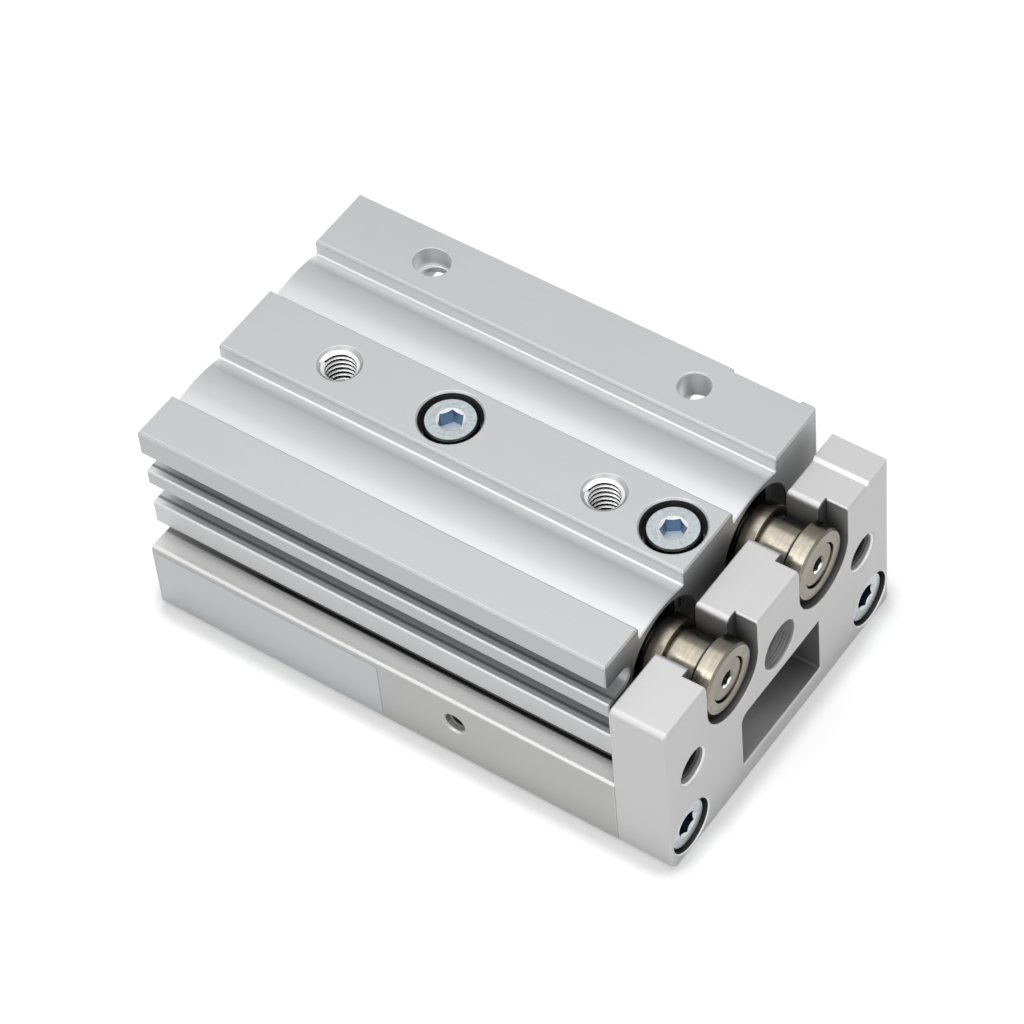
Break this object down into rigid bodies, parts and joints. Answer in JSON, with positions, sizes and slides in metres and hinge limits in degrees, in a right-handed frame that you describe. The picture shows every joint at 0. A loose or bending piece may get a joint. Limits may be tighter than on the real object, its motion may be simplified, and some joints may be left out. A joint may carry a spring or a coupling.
{
  "type": "slide table cylinder",
  "caption": "Compact air slide table: grooved twin-bore body, guide rail on crossed rollers, and a table plate whose end plate is joined to the piston rods by floating bushings.",
  "frame": {"origin": "centre of the bounding box in plan, on the table's work face, stroke at zero", "axes": "+X along the stroke, out of the body; +Z from the table's work face to the body's mounting face; +Y towards the port flange"},
  "size_m": [0.08, 0.05, 0.031],
  "materials": {
    "body_anodised": "satin clear anodised extrusion",
    "table_anodised": "satin clear anodised",
    "plate_anodised": "satin clear anodised",
    "cap_aluminium": "turned",
    "guide_steel": "ground hardened steel",
    "screw_zinc": "bright zinc",
    "joint_steel": "turned stainless steel",
    "spring_steel": "dark oiled spring steel",
    "bushing_nickel": "nickel plated, satin",
    "rod_chrome": "hard chrome, ground",
    "magnet_dark": "coated",
    "cage_plastic": "moulded",
    "seal_rubber": "moulded",
    "bumper_urethane": "moulded"
  },
  "bodies": {
    "body": {"cylinder_body": "body_anodised", "head_caps": "cap_aluminium", "head_cap_seals": "seal_rubber", "rear_snap_rings": "spring_steel", "rod_covers": "cap_aluminium", "cover_seals": "seal_rubber", "front_snap_rings": "spring_steel", "rod_seals": "seal_rubber", "rod_bumpers": "bumper_urethane", "head_bumpers": "bumper_urethane", "guide_rail": "guide_steel", "rail_screws": "screw_zinc", "cage_stops": "spring_steel", "cage_stop_screws": "screw_zinc"},
    "table": {"slide_table": "table_anodised", "end_plate": "plate_anodised", "end_plate_screws": "screw_zinc", "guide_block": "guide_steel", "guide_screws": "screw_zinc", "piston_rod_far": "rod_chrome", "piston_rod_near": "rod_chrome", "piston_far": "cap_aluminium", "piston_near": "cap_aluminium", "rod_bushing_far": "bushing_nickel", "rod_bushing_near": "bushing_nickel", "piston_seals": "seal_rubber", "piston_magnets": "magnet_dark", "joint_screws": "joint_steel"},
    "cages": {"roller_cage_far": "cage_plastic", "roller_cage_near": "cage_plastic", "rollers_far": "guide_steel", "rollers_near": "guide_steel"}
  },
  "joints": [
    {"name": "table_slide", "type": "slide", "parent": "body", "child": "table", "axis": [1, 0, 0], "range_m": [0, 0.03]},
    {"name": "cage_slide", "type": "slide", "parent": "body", "child": "cages", "axis": [1, 0, 0], "range_m": [0, 0.015]}
  ],
  "couplings": [
    {"joint": "cage_slide", "follows": "table_slide", "ratio": 0.5}
  ]
}
